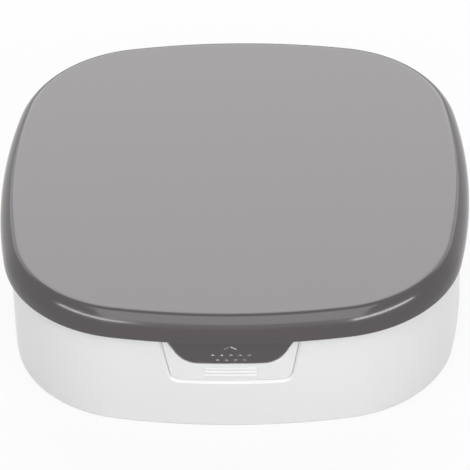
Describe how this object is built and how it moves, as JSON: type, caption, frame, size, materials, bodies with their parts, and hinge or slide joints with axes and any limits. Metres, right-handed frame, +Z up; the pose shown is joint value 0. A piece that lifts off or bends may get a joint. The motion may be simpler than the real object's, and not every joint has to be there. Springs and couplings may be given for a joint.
{
  "type": "travel jewellery box",
  "caption": "Small rounded-square hard case for jewellery with a hinged grey lid, a front tab latch with a press panel, a mirror and a lined tray.",
  "frame": {"origin": "centre of the underside, on the surface that the box stands on, below the centre of its rounded-square outline", "axes": "+Z up through the lid, -Y towards the front with the tab and press panel, +Y towards the hinge, +X to the right seen from the front"},
  "size_m": [0.1, 0.104, 0.0294],
  "materials": {
    "white_plastic": "satin moulded, white",
    "grey_plastic": "satin moulded, warm grey",
    "steel": "drawn steel wire and plated screws",
    "mirror_glass": "silvered glass",
    "foam": "soft foam adhesive pad",
    "tray_plastic": "fine matte moulded, dark grey",
    "velvet": "short velvet pile, mid grey"
  },
  "bodies": {
    "base": {"base_shell": "white_plastic", "hinge_pin": "steel", "button_spring_left": "steel", "button_spring_right": "steel", "latch_cover": "white_plastic", "cover_screws": "steel", "compartment_tray": "tray_plastic", "divider_left": "tray_plastic", "divider_right": "tray_plastic", "lining_left": "velvet", "lining_centre": "velvet", "lining_right": "velvet", "ring_bed": "velvet", "ring_roll_1": "velvet", "ring_roll_2": "velvet", "ring_roll_3": "velvet", "ring_roll_4": "velvet"},
    "lid": {"lid_shell": "grey_plastic", "mirror_frame": "white_plastic", "mirror": "mirror_glass", "mirror_pad": "foam"},
    "button": {"latch_button": "white_plastic"}
  },
  "joints": [
    {"name": "lid_hinge", "type": "hinge", "parent": "base", "child": "lid", "pos_m": [0, 0.05085, 0.0209], "axis": [-1, 0, 0], "range_deg": [0, 105]},
    {"name": "button_press", "type": "slide", "parent": "base", "child": "button", "axis": [0, 1, 0], "range_m": [0, 0.0016], "stiffness_N_per_m": 2300, "springref_m": -0.0005, "deforming": ["button_spring_left", "button_spring_right"]}
  ]
}
